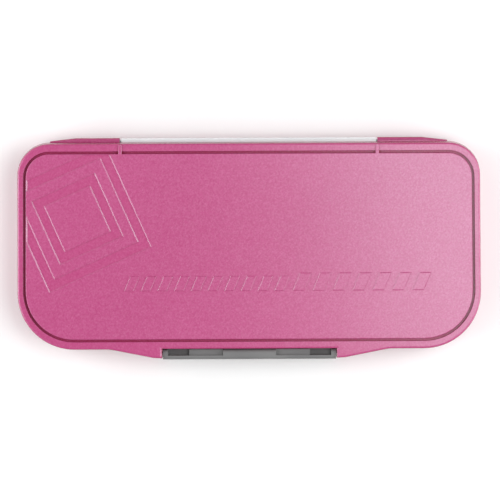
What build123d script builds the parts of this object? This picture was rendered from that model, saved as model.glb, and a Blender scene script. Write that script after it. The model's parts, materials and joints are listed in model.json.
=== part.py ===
from build123d import *
from math import radians, tan
import os

# A folding, airtight water-colour palette in millimetres, closed.
# Origin: centre of the footprint on the surface that it stands on.
# +X runs to the right along the hinge, +Y to the hinge side, +Z up through the lid.

os.makedirs("parts", exist_ok=True)

# Case
case_width = 290.45
front_y = -63.2
back_y = 66.4
side_flare = 0.8
case_height = 30.0
foot_height = 1.0
parting_z = case_height / 2
half_gap = 0.15
front_radius = 36.0
back_radius = 20.5
draft = 3.0
wall = 2.0
edge_round = 1.3
overlap = 1.0

# Lid face: rim, groove, raised panel and relief
relief_height = 0.4
panel_z = case_height - relief_height
rim_z = panel_z - 0.6
groove_depth = 1.3
groove_width = 1.6
groove_side = 4.2
groove_end = 5.35
panel_round = 0.45
ceiling_z = 26.9
rib_x = 80.0
rib_width = 2.2
rib_slope = 0.9
rib_drop = 1.2
rib_round = 0.4
relief_depth = 0.5
relief_slope = 55.0
relief_margin = 2.0
square_x = -106.7
square_y = 19.2
square_turn = 24.0
square_sides = (30.3, 43.7, 56.3, 70.0)
dash_base_y = -26.1
dash_slant = 0.42
dash_rise = 50.0
small_dash_x = -78.0
small_dash_pitch = 10.4
small_dash_count = 10
small_dash_width = 6.0
small_dash_height = 9.4
large_dash_x = 27.0
large_dash_pitch = 12.4
large_dash_count = 7
large_dash_width = 7.4
large_dash_height = 11.2

# Front wings and the notch that holds the latch
wing_root_x = 87.0
wing_tip_x = 60.0
wing_depth = 5.65
wing_ease = 0.25
wing_root_radius = 30.0
notch_half = 54.5
notch_y = -62.3
notch_cut = 20.0

# Hinge
hinge_y = 66.65
hinge_pin_radius = 1.0
hinge_pin_length = 36.0
hinge_pin_reach = 16.5
pin_chamfer = 0.25
pin_end_gap = 0.2
lug_radius = 2.35
lug_tip_radius = 0.5
lug_inner_x = 80.5
lug_full_x = 108.0
lug_end_x = 124.0
barrel_radius = 2.15
barrel_half = 79.5
barrel_bore_length = 18.0
web_gap = 0.4
hinge_gap = 0.3
barrel_slot_half = lug_inner_x - hinge_gap
lug_bore_length = 20.0
running_gap = 0.06

# Trays and seal
tray_gap = 0.1
flange_width = 5.0
tray_wall = 1.5
flange_thickness = 1.8
well_flange = 3.0
well_floor_z = 4.0
well_top_z = parting_z - 0.3
lid_tray_z = parting_z + 0.3
lid_tray_top_z = 26.4
inner_inset = wall + tray_gap + flange_width
well_radius = 2.5
mixing_radius = 5.0
lip_round = 0.5
wells_per_row = 9
back_row_y = 35.25
front_row_y = -32.25
ramp_rise = 3.0
mixing_divider_x = 46.0
lid_divider_x = (-82.0, -27.0, 27.0, 82.0)
seal_inset = 5.5
seal_width = 2.0
seal_depth = 1.6
seal_height = 1.85
seal_round = 0.5

# Latch
latch_half = 54.0
latch_front_y = -69.0
latch_plate = 2.4
latch_round = 1.8
latch_low_z = 5.0
latch_top_z = 27.3
latch_back_y = -62.8
latch_pivot_y = -65.5
latch_pivot_z = 24.3
cheek_inner_x = 51.0
pocket_inner_x = 37.6
centre_half = 16.5
block_low_z = 20.0
ledge_drop = 2.2
pocket_floor = 1.2
plate_overlap = 0.2
corner_cut = 10.0
latch_pin_radius = 1.0
latch_bore_length = 7.5
catch_y = -65.2
catch_low_z = 9.0
catch_height = 2.5
catch_half = 49.0
snap_gap = 0.3
snap_slope = 0.6
snap_tip = 0.7
snap_height = 2.5
grip_half = 24.0
grip_low_z = 7.0
grip_pitch = 1.9
grip_count = 4
grip_depth = 0.5

# Underside and feet
under_groove_inset = 6.0
foot_x = 112.0
foot_y = 38.0
foot_radius = 6.0
foot_recess = 0.8
foot_ring_radius = 3.6
foot_ring_width = 0.8
foot_ring_depth = 0.5
foot_round = 0.5


def case_outline(side, end=None):
    """Plan of the case, moved in by side at its short sides and by end at front and back.
    The short sides flare a little towards the front."""
    end = side if end is None else end
    with BuildSketch() as outline:
        front_half = case_width / 2 - side
        back_half = front_half - side_flare
        with BuildLine():
            Polyline(
                (-front_half, front_y + end),
                (front_half, front_y + end),
                (back_half, back_y - end),
                (-back_half, back_y - end),
                close=True,
            )
        make_face()
        fillet(outline.vertices().group_by(Axis.Y)[0], front_radius - side)
        fillet(outline.vertices().group_by(Axis.Y)[-1], back_radius - side)
    return outline.sketch


def winged_outline():
    """Plan of a shell: the case with the two wings that flank the latch at the front."""
    tip_y = front_y - wing_depth
    with BuildSketch() as outline:
        add(case_outline(0))
        with BuildLine():
            Polyline(
                (-wing_root_x, front_y + overlap),
                (-wing_root_x, front_y),
                (-wing_tip_x, tip_y + wing_ease),
                (-notch_half, tip_y),
                (notch_half, tip_y),
                (wing_tip_x, tip_y + wing_ease),
                (wing_root_x, front_y),
                (wing_root_x, front_y + overlap),
                close=True,
            )
        make_face()
        roots = [v for v in outline.vertices() if round(abs(v.X), 3) == wing_root_x]
        fillet(roots, wing_root_radius)
    return outline.sketch


def ring_sketch(outer, inner, outer_end=None, inner_end=None):
    """Band between two insets of the case plan."""
    with BuildSketch() as band:
        add(case_outline(outer, outer_end))
        add(case_outline(inner, inner_end), mode=Mode.SUBTRACT)
    return band.sketch


def lug_form(growth):
    """Right hinge lug: a round barrel that tapers outwards, grown by a clearance."""
    with BuildPart() as lug:
        with BuildSketch(Plane.XY):
            with BuildLine():
                Polyline(
                    (lug_inner_x - growth, 0),
                    (lug_inner_x - growth, lug_radius + growth),
                    (lug_full_x, lug_radius + growth),
                    (lug_end_x, lug_tip_radius + growth),
                    (lug_end_x + growth, 0),
                    close=True,
                )
            make_face()
        revolve(axis=Axis.X)
    return lug.part


def at_hinge(form, side):
    """Places a form made about the X axis at the right (1) or left (-1) end of the hinge."""
    turned = form if side > 0 else mirror(form, about=Plane.YZ, mode=Mode.PRIVATE)
    return Pos(0, hinge_y, parting_z) * turned


def barrel_form(radius, half_length):
    """Plain round bar along the hinge line, for the centre barrel and its clearances."""
    with BuildPart() as barrel:
        with BuildSketch(Plane.YZ.offset(-half_length)):
            with Locations((hinge_y, parting_z)):
                Circle(radius)
        extrude(amount=2 * half_length)
    return barrel.part


def round_bar(x_start, length, y, z, radius):
    """Bar along X, used for pins and for the bores that hold them."""
    with BuildPart() as bar:
        with BuildSketch(Plane.YZ.offset(x_start)):
            with Locations((y, z)):
                Circle(radius)
        extrude(amount=length)
    return bar.part


def wire_pin(x_start, length, y, z, radius):
    """Steel pin along X with chamfered ends."""
    with BuildPart() as pin:
        add(round_bar(x_start, length, y, z, radius))
        chamfer(pin.edges().filter_by(GeomType.CIRCLE), pin_chamfer)
    return pin.part


def finish(part, name):
    part.label = name
    export_step(part, "parts/" + name + ".step")


lug_clearance = lug_form(hinge_gap)

# --- Relief on the lid: nested squares, and a row of slanted dashes ---------------------
with BuildSketch(Plane.XY.offset(panel_z)) as relief_bands:
    with Locations((square_x, square_y)):
        Rectangle(square_sides[3], square_sides[3], rotation=square_turn)
        Rectangle(square_sides[2], square_sides[2], rotation=square_turn, mode=Mode.SUBTRACT)
        Rectangle(square_sides[1], square_sides[1], rotation=square_turn)
        Rectangle(square_sides[0], square_sides[0], rotation=square_turn, mode=Mode.SUBTRACT)
    add(case_outline(groove_side + relief_margin, groove_end + relief_margin), mode=Mode.INTERSECT)


def dash_row(first_x, pitch, count, width, height):
    """Slanted dashes that stand on one line."""
    with BuildSketch() as row:
        for number in range(count):
            left = first_x + number * pitch
            with BuildLine():
                Polyline(
                    (left, dash_base_y),
                    (left + width, dash_base_y),
                    (left + width + dash_slant * height, dash_base_y + height),
                    (left + dash_slant * height, dash_base_y + height),
                    close=True,
                )
            make_face()
    return row.sketch


with BuildSketch(Plane.XY.offset(panel_z)) as dashes:
    add(
        dash_row(
            small_dash_x, small_dash_pitch, small_dash_count, small_dash_width, small_dash_height
        )
    )
    add(
        dash_row(
            large_dash_x, large_dash_pitch, large_dash_count, large_dash_width, large_dash_height
        )
    )



def notch_sketch():
    """Plan of the notch for the latch, between the wings."""
    with BuildSketch() as notch:
        with Locations((0, notch_y)):
            Rectangle(2 * notch_half, notch_cut, align=(Align.CENTER, Align.MAX))
    return notch.sketch


def back_rib(middle):
    """Low rib that runs from the panel over the groove and the rim, and down the back edge."""
    edge_y = back_y - (rim_z - parting_z) * tan(radians(draft))
    with BuildPart() as rib:
        with BuildSketch(Plane.YZ.offset(middle - rib_width / 2)):
            with BuildLine():
                Polyline(
                    (back_y - groove_end - groove_width - overlap, rim_z - groove_depth),
                    (back_y - groove_end - groove_width - overlap, panel_z),
                    (edge_y - rib_slope, panel_z),
                    (edge_y, rim_z - rib_drop),
                    (edge_y - overlap, rim_z - groove_depth),
                    close=True,
                )
            make_face()
        extrude(amount=rib_width)
        top_edges = rib.edges().filter_by(lambda edge: edge.center().Z > rim_z - rib_drop / 2)
        fillet(top_edges.filter_by(GeomType.LINE).filter_by(Axis.X, reverse=True), rib_round)
    return rib.part


# --- Lid shell --------------------------------------------------------------------------
with BuildPart() as lid_shell:
    lid_low_z = parting_z + half_gap
    with BuildSketch(Plane.XY.offset(lid_low_z)):
        add(winged_outline())
    extrude(amount=rim_z - lid_low_z, taper=draft)
    with BuildSketch(Plane.XY.offset(lid_low_z)):
        add(notch_sketch())
    extrude(amount=rim_z, mode=Mode.SUBTRACT)
    fillet(lid_shell.faces().sort_by(Axis.Z)[-1].edges(), edge_round)
    # Raised panel, then the groove round it, bridged by two ribs at the back
    with BuildSketch(Plane.XY.offset(rim_z)):
        add(case_outline(groove_side + groove_width, groove_end + groove_width))
    extrude(amount=panel_z - rim_z)
    fillet(lid_shell.faces().sort_by(Axis.Z)[-1].edges(), panel_round)
    with BuildSketch(Plane.XY.offset(rim_z - groove_depth)):
        add(
            ring_sketch(
                groove_side,
                groove_side + groove_width,
                groove_end,
                groove_end + groove_width,
            )
        )
    extrude(amount=groove_depth, mode=Mode.SUBTRACT)
    for middle in (-rib_x, rib_x):
        add(back_rib(middle))
    extrude(relief_bands.sketch, amount=-relief_depth, taper=relief_slope, mode=Mode.SUBTRACT)
    extrude(dashes.sketch, amount=relief_height, taper=dash_rise)
    # Hollow, open downwards
    with BuildSketch(Plane.XY.offset(lid_low_z)):
        add(case_outline(wall))
    extrude(amount=ceiling_z - lid_low_z, mode=Mode.SUBTRACT)
    # Room for the base's lugs, and for the centre barrel with its web
    for side in (-1, 1):
        add(at_hinge(lug_clearance, side), mode=Mode.SUBTRACT)
    add(barrel_form(barrel_radius + tray_gap, barrel_slot_half), mode=Mode.SUBTRACT)
    with BuildSketch(Plane.XY.offset(lid_low_z)):
        with Locations((0, back_y)):
            Rectangle(2 * barrel_slot_half, 3 * wall)
    extrude(amount=flange_thickness + web_gap, mode=Mode.SUBTRACT)
    # Blind holes for the latch's pins
    for start in (-notch_half - latch_bore_length, notch_half):
        add(
            round_bar(start, latch_bore_length, latch_pivot_y, latch_pivot_z, latch_pin_radius),
            mode=Mode.SUBTRACT,
        )

# --- Base shell -------------------------------------------------------------------------
with BuildPart() as base_shell:
    base_top_z = parting_z - half_gap
    with BuildSketch(Plane.XY.offset(base_top_z)):
        add(winged_outline())
    extrude(amount=-(base_top_z - foot_height), taper=draft)
    with BuildSketch(Plane.XY.offset(foot_height)):
        add(notch_sketch())
    extrude(amount=base_top_z, mode=Mode.SUBTRACT)
    fillet(base_shell.faces().sort_by(Axis.Z)[0].edges(), edge_round)
    with BuildSketch(Plane.XY.offset(foot_height + wall)):
        add(case_outline(wall))
    extrude(amount=base_top_z, mode=Mode.SUBTRACT)
    # Round room for the centre barrel, then the two lugs with their blind pin holes
    add(barrel_form(barrel_radius + hinge_gap, lug_inner_x), mode=Mode.SUBTRACT)
    for side in (-1, 1):
        add(at_hinge(lug_form(0), side))
    for start in (-lug_inner_x - lug_bore_length, lug_inner_x):
        add(
            round_bar(start, lug_bore_length, hinge_y, parting_z, hinge_pin_radius),
            mode=Mode.SUBTRACT,
        )
    # Catch ledge that the latch snaps over
    with BuildSketch(Plane.XY.offset(catch_low_z)):
        with Locations((0, catch_y)):
            Rectangle(2 * catch_half, notch_y - catch_y + overlap, align=(Align.CENTER, Align.MIN))
    extrude(amount=catch_height)
    # Shallow groove round the underside, then recesses for the feet
    with BuildSketch(Plane.XY.offset(foot_height)):
        add(ring_sketch(under_groove_inset, under_groove_inset + groove_width))
    extrude(amount=groove_depth, mode=Mode.SUBTRACT)
    with BuildSketch(Plane.XY.offset(foot_height)):
        with GridLocations(2 * foot_x, 2 * foot_y, 2, 2):
            Circle(foot_radius)
    extrude(amount=foot_recess, mode=Mode.SUBTRACT)

# --- Well tray: a row of slanted wells at front and back, mixing areas between ------------
ramp_low_z = well_floor_z + tray_wall
inner_half = case_width / 2 - inner_inset
inner_back_y = back_y - inner_inset
inner_front_y = front_y + inner_inset
well_pitch = 2 * inner_half / wells_per_row
half_divider = tray_wall / 2


def compartment(x_low, x_high, y_low, y_high, radius):
    """Plan of one compartment, kept inside the tray's inner edge, with round corners."""
    with BuildSketch() as plan:
        with Locations(((x_low + x_high) / 2, (y_low + y_high) / 2)):
            Rectangle(x_high - x_low, y_high - y_low)
        add(case_outline(inner_inset), mode=Mode.INTERSECT)
        offset(amount=-radius, mode=Mode.REPLACE)
        offset(amount=radius, kind=Kind.ARC, mode=Mode.REPLACE)
    return plan.sketch


def compartment_row(divider_x, y_low, y_high, radius):
    """Compartments side by side, parted by dividers at the given places."""
    edges = (-inner_half - half_divider, *divider_x, inner_half + half_divider)
    with BuildSketch() as row:
        for left, right in zip(edges, edges[1:]):
            add(compartment(left + half_divider, right - half_divider, y_low, y_high, radius))
    return row.sketch


well_divider_x = [-inner_half + number * well_pitch for number in range(1, wells_per_row)]
mixing_plan = compartment_row(
    (-mixing_divider_x, mixing_divider_x),
    front_row_y + half_divider,
    back_row_y - half_divider,
    mixing_radius,
)

with BuildPart() as ramps:
    with BuildSketch(Plane.YZ.offset(-inner_half)):
        for row_y, edge_y in ((back_row_y, inner_back_y), (front_row_y, inner_front_y)):
            with BuildLine():
                Polyline(
                    (row_y, ramp_low_z - tray_wall / 2),
                    (edge_y, ramp_low_z - tray_wall / 2),
                    (edge_y, ramp_low_z),
                    (row_y, ramp_low_z + ramp_rise),
                    close=True,
                )
            make_face()
    extrude(amount=2 * inner_half)
    with BuildSketch():
        add(case_outline(inner_inset - half_divider))
    extrude(amount=case_height, mode=Mode.INTERSECT)

with BuildPart() as well_tray:
    with BuildSketch(Plane.XY.offset(well_floor_z)):
        add(case_outline(wall + tray_gap))
    extrude(amount=well_top_z - well_floor_z)
    with BuildSketch(Plane.XY.offset(well_floor_z)):
        add(ring_sketch(wall + tray_gap, inner_inset - tray_wall))
    extrude(amount=well_top_z - well_flange - well_floor_z, mode=Mode.SUBTRACT)
    with BuildSketch(Plane.XY.offset(ramp_low_z)):
        add(mixing_plan)
        add(compartment_row(well_divider_x, back_row_y + half_divider, inner_back_y, well_radius))
        add(compartment_row(well_divider_x, inner_front_y, front_row_y - half_divider, well_radius))
    extrude(amount=case_height, mode=Mode.SUBTRACT)
    for lip in well_tray.faces().sort_by(Axis.Z)[-1].inner_wires():
        fillet(lip.edges(), lip_round)
    add(ramps.part)
    # Channel for the seal, and room for the hinge
    with BuildSketch(Plane.XY.offset(well_top_z)):
        add(ring_sketch(seal_inset - seal_width / 2, seal_inset + seal_width / 2))
    extrude(amount=-seal_depth, mode=Mode.SUBTRACT)
    add(barrel_form(barrel_radius + hinge_gap, barrel_slot_half), mode=Mode.SUBTRACT)
    for side in (-1, 1):
        add(at_hinge(lug_form(tray_gap), side), mode=Mode.SUBTRACT)

# --- Silicone seal ring in the well tray's channel ---------------------------------------
with BuildPart() as seal_ring:
    with BuildSketch(Plane.XY.offset(well_top_z - seal_depth)):
        add(ring_sketch(seal_inset - seal_width / 2, seal_inset + seal_width / 2))
    extrude(amount=seal_height)
    fillet(seal_ring.faces().sort_by(Axis.Z)[-1].edges(), seal_round)

# --- Lid mixing tray, with the hinge's centre barrel -------------------------------------
with BuildPart() as lid_mixing_tray:
    with BuildSketch(Plane.XY.offset(lid_tray_z)):
        add(case_outline(wall + tray_gap))
    extrude(amount=flange_thickness)
    with BuildSketch(Plane.XY.offset(lid_tray_z)):
        add(case_outline(inner_inset - tray_wall))
    extrude(amount=lid_tray_top_z - lid_tray_z)
    with BuildSketch(Plane.XY.offset(lid_tray_z)):
        add(compartment_row(lid_divider_x, inner_front_y, inner_back_y, mixing_radius))
    extrude(amount=lid_tray_top_z - tray_wall - lid_tray_z, mode=Mode.SUBTRACT)
    for lip in lid_mixing_tray.faces().sort_by(Axis.Z)[0].inner_wires():
        fillet(lip.edges(), lip_round)
    for side in (-1, 1):
        add(at_hinge(lug_clearance, side), mode=Mode.SUBTRACT)
    # Web and barrel, bored at both ends for the hinge pins
    with BuildSketch(Plane.XY.offset(lid_tray_z)):
        with Locations((0, hinge_y - flange_width / 2)):
            Rectangle(2 * barrel_half, flange_width)
    extrude(amount=flange_thickness)
    add(barrel_form(barrel_radius, barrel_half))
    for start in (-barrel_half, barrel_half - barrel_bore_length):
        add(
            round_bar(start, barrel_bore_length, hinge_y, parting_z, hinge_pin_radius + running_gap),
            mode=Mode.SUBTRACT,
        )

# --- Latch: a flap with end cheeks, pockets, ledges and a centre block ------------------
plate_back_y = latch_front_y + latch_plate
pivot_reach = latch_top_z - latch_pivot_z
snap_top_z = catch_low_z - snap_gap
snap_tip_y = catch_y - snap_gap


def latch_blocks(x_low, x_high, top_z):
    """Pair of solids behind the flap's plate, from x_low to x_high, up to top_z."""
    depth = latch_back_y - plate_back_y + plate_overlap
    with BuildPart() as blocks:
        with BuildSketch(Plane.XY.offset(block_low_z)):
            for middle in ((x_low + x_high) / 2, -(x_low + x_high) / 2):
                with Locations((middle, latch_back_y - depth / 2)):
                    Rectangle(x_high - x_low, depth)
        extrude(amount=top_z - block_low_z)
    return blocks.part


with BuildPart() as latch:
    with BuildSketch(Plane.YZ.offset(-latch_half)):
        with Locations((latch_front_y + latch_plate / 2, (latch_low_z + latch_top_z) / 2)):
            Rectangle(latch_plate, latch_top_z - latch_low_z)
    extrude(amount=2 * latch_half)
    add(latch_blocks(0, centre_half, latch_top_z))
    add(latch_blocks(centre_half, pocket_inner_x, latch_top_z - ledge_drop))
    add(latch_blocks(pocket_inner_x, cheek_inner_x, block_low_z + pocket_floor))
    add(latch_blocks(cheek_inner_x, latch_half, latch_top_z))
    # Snap rib that comes to rest under the catch ledge
    with BuildSketch(Plane.YZ.offset(-catch_half + overlap)):
        with BuildLine():
            Polyline(
                (plate_back_y - plate_overlap, snap_top_z),
                (snap_tip_y, snap_top_z - snap_slope),
                (snap_tip_y, snap_top_z - snap_slope - snap_tip),
                (plate_back_y - plate_overlap, snap_top_z - snap_height),
                close=True,
            )
        make_face()
    extrude(amount=2 * (catch_half - overlap))
    # The back top corner turns past the lid, so it is round about the pivot
    with BuildSketch(Plane.YZ.offset(-latch_half)):
        with Locations((latch_pivot_y, latch_pivot_z)):
            Rectangle(corner_cut, corner_cut, align=(Align.MIN, Align.MIN))
            Circle(pivot_reach, mode=Mode.SUBTRACT)
    extrude(amount=2 * latch_half, mode=Mode.SUBTRACT)
    fillet(latch.edges().filter_by(Axis.X).group_by(Axis.Y)[0], latch_round)
    # Grip grooves across the middle of the lower front
    with BuildSketch(Plane.YZ.offset(-grip_half)):
        for number in range(grip_count):
            groove_z = grip_low_z + number * grip_pitch
            with BuildLine():
                Polyline(
                    (latch_front_y, groove_z - grip_depth),
                    (latch_front_y + grip_depth, groove_z),
                    (latch_front_y, groove_z + grip_depth),
                    close=True,
                )
            make_face()
    extrude(amount=2 * grip_half, mode=Mode.SUBTRACT)
    for start in (-latch_half, cheek_inner_x):
        add(
            round_bar(
                start,
                latch_half - cheek_inner_x,
                latch_pivot_y,
                latch_pivot_z,
                latch_pin_radius + running_gap,
            ),
            mode=Mode.SUBTRACT,
        )

# --- Pins -------------------------------------------------------------------------------
latch_pin_start = cheek_inner_x + pin_end_gap
latch_pin_length = notch_half + latch_bore_length - pin_end_gap - latch_pin_start
hinge_pin_start = barrel_half - hinge_pin_reach


def export_pins():
    for name, latch_start, hinge_start in (
        ("right", latch_pin_start, hinge_pin_start),
        ("left", -latch_pin_start - latch_pin_length, -hinge_pin_start - hinge_pin_length),
    ):
        latch_pin = wire_pin(
            latch_start, latch_pin_length, latch_pivot_y, latch_pivot_z, latch_pin_radius
        )
        finish(latch_pin, "latch_pin_" + name)
        hinge_pin = wire_pin(
            hinge_start, hinge_pin_length, hinge_y, parting_z, hinge_pin_radius
        )
        finish(hinge_pin, "hinge_pin_" + name)


# --- Feet -------------------------------------------------------------------------------
def export_feet():
    for y_name, y in (("front", -foot_y), ("back", foot_y)):
        for x_name, x in (("left", -foot_x), ("right", foot_x)):
            with BuildPart() as foot:
                with BuildSketch():
                    with Locations((x, y)):
                        Circle(foot_radius)
                extrude(amount=foot_height + foot_recess)
                fillet(foot.faces().sort_by(Axis.Z)[0].edges(), foot_round)
                with BuildSketch():
                    with Locations((x, y)):
                        Circle(foot_ring_radius)
                        Circle(foot_ring_radius - foot_ring_width, mode=Mode.SUBTRACT)
                extrude(amount=foot_ring_depth, mode=Mode.SUBTRACT)
            finish(foot.part, "foot_" + y_name + "_" + x_name)


finish(lid_shell.part, "lid_shell")
finish(base_shell.part, "base_shell")
finish(well_tray.part, "well_tray")
finish(seal_ring.part, "seal_ring")
finish(lid_mixing_tray.part, "lid_mixing_tray")
finish(latch.part, "latch")
export_pins()
export_feet()
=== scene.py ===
import json
import math

import bpy
from mathutils import Euler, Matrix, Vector


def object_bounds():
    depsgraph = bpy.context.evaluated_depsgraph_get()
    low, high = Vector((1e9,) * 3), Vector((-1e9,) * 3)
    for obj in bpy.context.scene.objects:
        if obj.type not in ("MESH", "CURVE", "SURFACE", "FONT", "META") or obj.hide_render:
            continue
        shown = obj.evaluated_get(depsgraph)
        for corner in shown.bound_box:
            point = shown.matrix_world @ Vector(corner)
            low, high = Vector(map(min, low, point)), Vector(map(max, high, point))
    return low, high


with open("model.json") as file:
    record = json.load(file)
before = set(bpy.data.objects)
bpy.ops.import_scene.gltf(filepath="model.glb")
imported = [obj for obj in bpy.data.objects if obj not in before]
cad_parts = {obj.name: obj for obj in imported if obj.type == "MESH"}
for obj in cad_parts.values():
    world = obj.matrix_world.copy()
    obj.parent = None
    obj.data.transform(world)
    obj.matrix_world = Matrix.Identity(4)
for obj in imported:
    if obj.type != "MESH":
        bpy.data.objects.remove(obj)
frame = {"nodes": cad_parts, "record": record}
cad_low, cad_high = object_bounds()

# A folding water-colour palette, closed, seen from almost straight above.
MM = 0.001
LID_TOP = cad_high.z

# Camera: over the lid, leaning a little to the hinge side, a long lens, almost without perspective
VIEW_WIDTH = 0.3129
VIEW_CENTRE = (0.0006, -0.0014, 0.5 * LID_TOP)
LENS = 300.0
SENSOR = 36.0
ROLL = math.radians(-0.25)
LEAN = math.radians(3.0)

# World: dim overhead and to the front and back, bright where a direction points this far sideways
CEILING_LIGHT = 0.18
WALL_LIGHT = 1.05
WALLS_BEGIN = 0.10
WALLS_FULL = 0.75

# Lamps: place, aim, size (level, leaning) and power
LAMPS = {
    "key_right": ((0.25, 0.03, 1.0), (0.05, 0.0, 0.0), (0.6, 0.34), 2.5),
    "edge_right": ((0.9, 0.0, 0.45), (0.0, 0.0, 0.0), (0.9, 0.5), 5.5),
    "edge_left": ((-0.9, 0.0, 0.45), (0.0, 0.0, 0.0), (0.9, 0.5), 5.5),
}
FLOOR_REACH = 6.0

# Pearl pigment reflects more than plain plastic
PEARL_IOR = 1.75
PEARL_TINT = (0.72, 1.0, 1.0, 1.0)

# Levels on the lid where painted shade starts: just under the rim, and between the raised panel
# and its recesses
RIM_EDGE = LID_TOP - 1.05 * MM
RECESS_EDGE = LID_TOP - 0.75 * MM
LEVEL_FADE = 0.1 * MM

# How deep light reaches into white plastic and silicone
SOFT_DEPTH = (2.0 * MM, 2.0 * MM, 2.0 * MM)


# --- Node-tree helpers -------------------------------------------------------------------
class Shader:
    """A material's node tree, with short ways to add and join nodes."""

    def __init__(self, name):
        self.material = bpy.data.materials.new(name)
        self.material.use_nodes = True
        self.tree = self.material.node_tree
        self.tree.nodes.clear()
        self.output = self.add("ShaderNodeOutputMaterial")
        self.coords = self.add("ShaderNodeTexCoord").outputs["Object"]

    def add(self, kind, **settings):
        node = self.tree.nodes.new(kind)
        for key, value in settings.items():
            setattr(node, key, value)
        return node

    def put(self, socket, value):
        """Joins a node's output to the socket, or sets the socket's own value."""
        if isinstance(value, bpy.types.NodeSocket):
            self.tree.links.new(value, socket)
        else:
            socket.default_value = value

    def mapped(self, scale, turn=(0.0, 0.0, 0.0)):
        node = self.add("ShaderNodeMapping")
        self.put(node.inputs["Vector"], self.coords)
        node.inputs["Scale"].default_value = scale
        node.inputs["Rotation"].default_value = turn
        return node.outputs["Vector"]

    def noise(self, scale, detail=2.0, rough=0.5, vector=None):
        node = self.add("ShaderNodeTexNoise")
        self.put(node.inputs["Vector"], self.coords if vector is None else vector)
        self.put(node.inputs["Scale"], scale)
        self.put(node.inputs["Detail"], detail)
        self.put(node.inputs["Roughness"], rough)
        return node.outputs["Fac"]

    def cells(self, scale):
        """A random value for each small cell."""
        node = self.add("ShaderNodeTexVoronoi")
        self.put(node.inputs["Vector"], self.coords)
        self.put(node.inputs["Scale"], scale)
        return node.outputs["Color"]

    def math(self, operation, first, second=0.0):
        node = self.add("ShaderNodeMath", operation=operation)
        self.put(node.inputs[0], first)
        self.put(node.inputs[1], second)
        return node.outputs[0]

    def spread(self, value, low, high, to_low, to_high):
        """Maps a range of values onto another, clamped."""
        node = self.add("ShaderNodeMapRange")
        self.put(node.inputs["Value"], value)
        self.put(node.inputs["From Min"], low)
        self.put(node.inputs["From Max"], high)
        self.put(node.inputs["To Min"], to_low)
        self.put(node.inputs["To Max"], to_high)
        return node.outputs["Result"]

    def blend(self, factor, first, second):
        node = self.add("ShaderNodeMix", data_type="RGBA")
        self.put(node.inputs["Factor"], factor)
        self.put(node.inputs["A"], first)
        self.put(node.inputs["B"], second)
        return node.outputs["Result"]

    def bump(self, height, strength, distance, normal=None):
        node = self.add("ShaderNodeBump")
        self.put(node.inputs["Height"], height)
        self.put(node.inputs["Strength"], strength)
        self.put(node.inputs["Distance"], distance)
        if normal is not None:
            self.put(node.inputs["Normal"], normal)
        return node.outputs["Normal"]

    def occlusion_shade(self, reach):
        """1 deep inside grooves and corners, 0 on open faces; used to paint shade into grooves and
        corners.
        """
        node = self.add("ShaderNodeAmbientOcclusion", samples=8, only_local=True)
        self.put(node.inputs["Distance"], reach)
        return self.spread(node.outputs["AO"], 0.25, 0.9, 1.0, 0.0)

    def soft_edges(self, radius):
        """A normal that rounds sharp edges by a radius."""
        node = self.add("ShaderNodeBevel", samples=4)
        self.put(node.inputs["Radius"], radius)
        return node.outputs["Normal"]

    def edge_wear(self, radius):
        """1 along edges, where the rounded normal leaves the true one, 0 on flats."""
        true_normal = self.add("ShaderNodeNewGeometry").outputs["True Normal"]
        match = self.add("ShaderNodeVectorMath", operation="DOT_PRODUCT")
        self.put(match.inputs[0], true_normal)
        self.put(match.inputs[1], self.soft_edges(radius))
        gap = self.math("SUBTRACT", 1.0, match.outputs["Value"])
        return self.spread(gap, 0.02, 0.25, 0.0, 1.0)

    def steepness(self, gentle, steep):
        """0 where a face looks straight up or down in the object's own frame, 1 where it is steep.
        The two limits are how much of the face's normal is upright."""
        split = self.add("ShaderNodeSeparateXYZ")
        self.put(split.inputs[0], self.add("ShaderNodeTexCoord").outputs["Normal"])
        return self.spread(self.math("ABSOLUTE", split.outputs["Z"]), steep, gentle, 1.0, 0.0)

    def height(self):
        split = self.add("ShaderNodeSeparateXYZ")
        self.put(split.inputs[0], self.coords)
        return split.outputs["Z"]

    def finish(self, **sockets):
        surface = self.add("ShaderNodeBsdfPrincipled")
        for name, value in sockets.items():
            self.put(surface.inputs[name.replace("_", " ")], value)
        self.tree.links.new(surface.outputs["BSDF"], self.output.inputs["Surface"])
        return self.material


def colour(red, green, blue):
    """An sRGB colour given 0 to 255, as the linear values that shaders take."""
    linear = []
    for channel in (red, green, blue):
        share = channel / 255
        linear.append(share / 12.92 if share <= 0.04045 else ((share + 0.055) / 1.055) ** 2.4)
    return (*linear, 1.0)


# --- Materials ---------------------------------------------------------------------------
PINK = colour(184, 72, 126)
PINK_CLOUD = colour(189, 78, 131)
PINK_FLAKE = colour(226, 150, 188)
PINK_GRAIN = colour(158, 44, 92)
# Painted shade colours: a deeper pink for recessed bands, deep crimson for steep faces and grooves
PINK_RECESS_SHADE = colour(180, 40, 108)
CRIMSON_SHADE = colour(136, 6, 44)

WHITE = colour(228, 230, 233)
WHITE_FLOW = colour(236, 237, 238)
WHITE_SCUFF = colour(208, 211, 216)
# Painted shade colour for corners and hollows of the white trays
WHITE_CORNER_SHADE = colour(176, 182, 190)

GREY = colour(108, 108, 109)
GREY_PATCH = colour(117, 117, 117)
GREY_RUBBED = colour(150, 150, 149)

SILICONE = colour(206, 214, 220)
SILICONE_DUST = colour(232, 234, 236)
STEEL_DARK = colour(150, 151, 154)
STEEL_BRIGHT = colour(196, 196, 198)
RUBBER = colour(44, 44, 46)
RUBBER_RUBBED = colour(74, 73, 72)
FLOOR = colour(250, 250, 250)
FLOOR_PATCH = colour(254, 254, 254)


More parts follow.
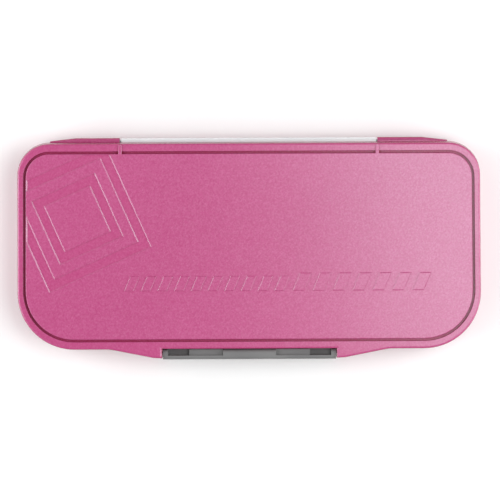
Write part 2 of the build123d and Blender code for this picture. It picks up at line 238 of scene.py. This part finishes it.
def pearl_pink():
    """Satin pink moulding with fine pearl flake. Steep faces below the rim and grooves get painted
    shade:
    a deep crimson colour and weaker reflection. Recessed bands get a painted shade of deeper pink."""
    s = Shader("pearl_pink")
    flake = s.cells(1300.0)
    clouds = s.noise(9.0, 3.0, 0.55)
    fine = s.noise(800.0, 2.0, 0.6)
    base = s.blend(s.spread(clouds, 0.3, 0.7, 0.0, 1.0), PINK, PINK_CLOUD)
    base = s.blend(s.spread(flake, 0.2, 1.0, 0.0, 0.18), base, PINK_FLAKE)
    base = s.blend(s.spread(fine, 0.35, 0.7, 0.0, 0.30), base, PINK_GRAIN)
    # Painted shade: faces below the panel's level, in the recessed bands, get a deeper pink
    recess_shade = s.spread(s.height(), RECESS_EDGE, RECESS_EDGE - LEVEL_FADE, 0.0, 0.2)
    base = s.blend(recess_shade, base, PINK_RECESS_SHADE)
    # Painted shade: steep faces below the rim, and grooves and corners, turn deep crimson
    below_rim = s.spread(s.height(), RIM_EDGE + LEVEL_FADE, RIM_EDGE, 0.0, 1.0)
    painted_shade = s.math("MULTIPLY", s.steepness(0.8, 0.45), below_rim)
    painted_shade = s.math("MAXIMUM", s.math("MULTIPLY", painted_shade, 0.7), s.occlusion_shade(2.0 * MM))
    base = s.blend(painted_shade, base, CRIMSON_SHADE)
    rough = s.spread(s.noise(60.0, 4.0, 0.6), 0.3, 0.7, 0.22, 0.25)
    grain = s.bump(fine, 0.05, 0.04 * MM, s.soft_edges(0.3 * MM))
    grain = s.bump(flake, 0.03, 0.03 * MM, grain)
    return s.finish(
        Base_Color=base,
        IOR=PEARL_IOR,
        # Painted shade: less reflection where the crimson shade is painted
        Specular_IOR_Level=s.spread(painted_shade, 0.0, 1.0, 0.5, 0.05),
        Specular_Tint=PEARL_TINT,
        Roughness=rough,
        Normal=grain,
    )


def white_moulding():
    """Glossy white plastic with faint flow marks and paint-handling scuffs, and painted shade in
    corners and hollows.
    """
    s = Shader("white_moulding")
    flow = s.noise(30.0, 4.0, 0.6, s.mapped((1.0, 0.25, 1.0)))
    scuff = s.noise(220.0, 3.0, 0.7, s.mapped((0.25, 1.0, 1.0), (0.0, 0.0, 0.6)))
    base = s.blend(s.spread(flow, 0.35, 0.7, 0.0, 1.0), WHITE, WHITE_FLOW)
    base = s.blend(s.spread(scuff, 0.62, 0.8, 0.0, 0.25), base, WHITE_SCUFF)
    # Painted shade: corners and hollows turn a darker grey-white
    base = s.blend(s.math("MULTIPLY", s.occlusion_shade(3.0 * MM), 0.5), base, WHITE_CORNER_SHADE)
    rough = s.spread(scuff, 0.4, 0.75, 0.20, 0.34)
    grain = s.bump(s.noise(420.0, 3.0, 0.6), 0.05, 0.05 * MM)
    return s.finish(
        Base_Color=base,
        Roughness=rough,
        Normal=grain,
        Subsurface_Weight=0.08,
        Subsurface_Radius=SOFT_DEPTH,
        Subsurface_Scale=0.4,
        Coat_Weight=0.3,
        Coat_Roughness=0.12,
    )


def latch_grey():
    """Matt grey plastic with a fine sparked texture and rubbed edges."""
    s = Shader("latch_grey")
    spark = s.noise(1100.0, 3.0, 0.65)
    patch = s.noise(40.0, 3.0, 0.5)
    base = s.blend(s.spread(patch, 0.35, 0.65, 0.0, 1.0), GREY, GREY_PATCH)
    base = s.blend(s.math("MULTIPLY", s.edge_wear(0.4 * MM), 0.4), base, GREY_RUBBED)
    rough = s.spread(spark, 0.3, 0.7, 0.46, 0.62)
    return s.finish(Base_Color=base, Roughness=rough, Normal=s.bump(spark, 0.22, 0.06 * MM))


def silicone():
    """Milky, slightly dusty silicone."""
    s = Shader("silicone")
    dust = s.noise(260.0, 4.0, 0.7)
    base = s.blend(s.spread(dust, 0.45, 0.75, 0.0, 0.5), SILICONE, SILICONE_DUST)
    return s.finish(
        Base_Color=base,
        Roughness=s.spread(dust, 0.3, 0.7, 0.38, 0.55),
        Normal=s.bump(dust, 0.12, 0.08 * MM),
        Subsurface_Weight=0.3,
        Subsurface_Radius=SOFT_DEPTH,
        Subsurface_Scale=0.5,
    )


def drawn_steel():
    """Steel wire with drawing lines along X."""
    s = Shader("drawn_steel")
    lines = s.noise(900.0, 3.0, 0.6, s.mapped((0.04, 1.0, 1.0)))
    return s.finish(
        Base_Color=s.blend(lines, STEEL_DARK, STEEL_BRIGHT),
        Metallic=1.0,
        Roughness=s.spread(lines, 0.3, 0.7, 0.22, 0.38),
        Normal=s.bump(lines, 0.15, 0.03 * MM),
    )


def foot_rubber():
    """Matt dark rubber, paler where it is rubbed."""
    s = Shader("foot_rubber")
    grain = s.noise(800.0, 4.0, 0.7)
    return s.finish(
        Base_Color=s.blend(s.spread(grain, 0.4, 0.75, 0.0, 0.6), RUBBER, RUBBER_RUBBED),
        Roughness=s.spread(grain, 0.3, 0.7, 0.7, 0.88),
        Normal=s.bump(grain, 0.3, 0.08 * MM),
    )


def studio_floor():
    s = Shader("studio_floor")
    return s.finish(Base_Color=s.blend(s.noise(3.0, 3.0), FLOOR, FLOOR_PATCH), Roughness=0.9)


MATERIALS = {
    "shell_pink": pearl_pink(),
    "tray_white": white_moulding(),
    "latch_grey": latch_grey(),
    "seal_silicone": silicone(),
    "pin_steel": drawn_steel(),
    "foot_rubber": foot_rubber(),
}

for subpart in frame["record"]["subparts"]:
    node = frame["nodes"][subpart["node"]]
    node.data.materials.clear()
    node.data.materials.append(MATERIALS[subpart["material_slot"]])


# --- Studio ------------------------------------------------------------------------------
def lamp(name, place, aim, size, power):
    """A rectangle of light. Its first size is level, its second leans up from the aim."""
    light = bpy.data.lights.new(name, "AREA")
    light.shape = "RECTANGLE"
    light.size, light.size_y = size
    light.energy = power
    holder = bpy.data.objects.new(name, light)
    holder.location = place
    direction = Vector(aim) - Vector(place)
    holder.rotation_euler = direction.to_track_quat("-Z", "Y").to_euler()
    bpy.context.collection.objects.link(holder)


def lit_walls():
    """Light from the left and right walls of a white room, with a dark ceiling and dark ends."""
    world = bpy.data.worlds.new("studio")
    world.use_nodes = True
    tree = world.node_tree
    tree.nodes["Background"].inputs["Color"].default_value = (1.0, 1.0, 1.0, 1.0)
    split = tree.nodes.new("ShaderNodeSeparateXYZ")
    tree.links.new(tree.nodes.new("ShaderNodeTexCoord").outputs["Generated"], split.inputs[0])
    sideways = tree.nodes.new("ShaderNodeMath")
    sideways.operation = "ABSOLUTE"
    tree.links.new(split.outputs["X"], sideways.inputs[0])
    walls = tree.nodes.new("ShaderNodeMapRange")
    walls.interpolation_type = "SMOOTHSTEP"
    tree.links.new(sideways.outputs[0], walls.inputs["Value"])
    walls.inputs["From Min"].default_value = WALLS_BEGIN
    walls.inputs["From Max"].default_value = WALLS_FULL
    walls.inputs["To Min"].default_value = CEILING_LIGHT
    walls.inputs["To Max"].default_value = WALL_LIGHT
    tree.links.new(walls.outputs["Result"], tree.nodes["Background"].inputs["Strength"])
    return world


def studio():
    floor_mesh = bpy.data.meshes.new("floor")
    corners = [
        (-FLOOR_REACH, -FLOOR_REACH, 0),
        (FLOOR_REACH, -FLOOR_REACH, 0),
        (FLOOR_REACH, FLOOR_REACH, 0),
        (-FLOOR_REACH, FLOOR_REACH, 0),
    ]
    floor_mesh.from_pydata(corners, [], [(0, 1, 2, 3)])
    floor_mesh.materials.append(studio_floor())
    floor = bpy.data.objects.new("floor", floor_mesh)
    bpy.context.collection.objects.link(floor)

    bpy.context.scene.world = lit_walls()

    for name, (place, aim, size, power) in LAMPS.items():
        lamp(name, place, aim, size, power)


def camera():
    data = bpy.data.cameras.new("camera")
    data.lens = LENS
    data.sensor_width = SENSOR
    holder = bpy.data.objects.new("camera", data)
    distance = VIEW_WIDTH * LENS / SENSOR
    turn = Euler((-LEAN, 0.0, ROLL))
    holder.rotation_euler = turn
    holder.location = Vector(VIEW_CENTRE) + turn.to_matrix() @ Vector((0.0, 0.0, distance))
    bpy.context.collection.objects.link(holder)
    bpy.context.scene.camera = holder


studio()
camera()
bpy.context.scene.view_settings.view_transform = "Standard"
